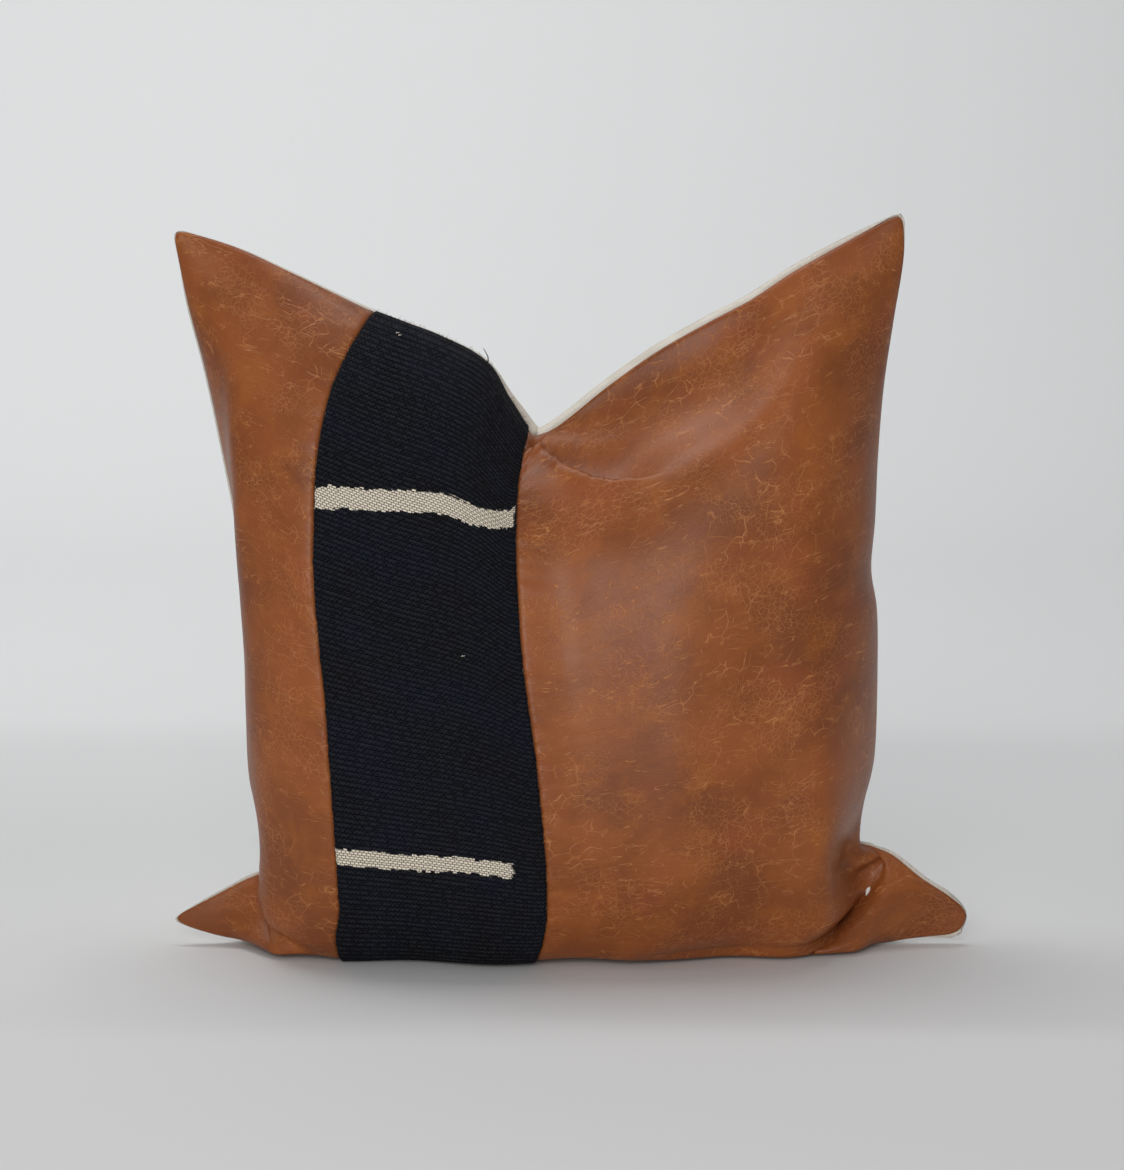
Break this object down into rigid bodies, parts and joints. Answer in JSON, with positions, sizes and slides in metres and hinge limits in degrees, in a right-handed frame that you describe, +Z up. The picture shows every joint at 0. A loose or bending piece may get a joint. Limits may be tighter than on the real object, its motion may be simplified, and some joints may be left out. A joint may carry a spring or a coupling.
{
  "type": "throw pillow",
  "caption": "Square throw pillow standing on its edge: leather-look front with a dark woven strip, canvas back, zipper in the bottom seam and a soft insert.",
  "frame": {"origin": "under the middle of the pillow, on the surface that it stands on", "axes": "+X to the viewer's right along the bottom seam, the front faces -Y, +Z up"},
  "size_m": [0.474, 0.1719, 0.446],
  "materials": {
    "leather": "satin, distressed",
    "mudcloth": "matte, coarse hand-woven",
    "canvas": "matte, plain weave",
    "dark_thread": "matte",
    "pale_thread": "matte",
    "zipper_tape": "matte, twill",
    "zipper_coil": "satin",
    "zipper_metal": "satin enamel",
    "casing": "matte, non-woven",
    "filling": "matte, fibrous"
  },
  "bodies": {
    "pillow": {"leather_panel_left": "leather", "leather_panel_right": "leather", "mudcloth_strip": "mudcloth", "back_panel": "canvas", "strip_seam_left": "dark_thread", "strip_seam_right": "dark_thread", "cover_edge_seam": "pale_thread", "zipper_tape_front": "zipper_tape", "zipper_tape_back": "zipper_tape", "zipper_coil_front": "zipper_coil", "zipper_coil_back": "zipper_coil", "zipper_top_stop": "zipper_metal", "zipper_bottom_stop": "zipper_metal", "zipper_stitches_front": "pale_thread", "zipper_stitches_back": "pale_thread", "insert_casing_front": "casing", "insert_casing_back": "casing", "insert_edge_seam": "pale_thread", "insert_fill": "filling"},
    "slider": {"zipper_slider": "zipper_metal"},
    "pull": {"zipper_pull": "zipper_metal"}
  },
  "joints": [
    {"name": "zipper_slide", "type": "slide", "parent": "pillow", "child": "slider", "axis": [1, 0, 0], "range_m": [0, 0.3]},
    {"name": "pull_swing", "type": "hinge", "parent": "slider", "child": "pull", "pos_m": [-0.152, 0, 0.00235], "axis": [0, 1, 0], "range_deg": [0, 150]}
  ]
}
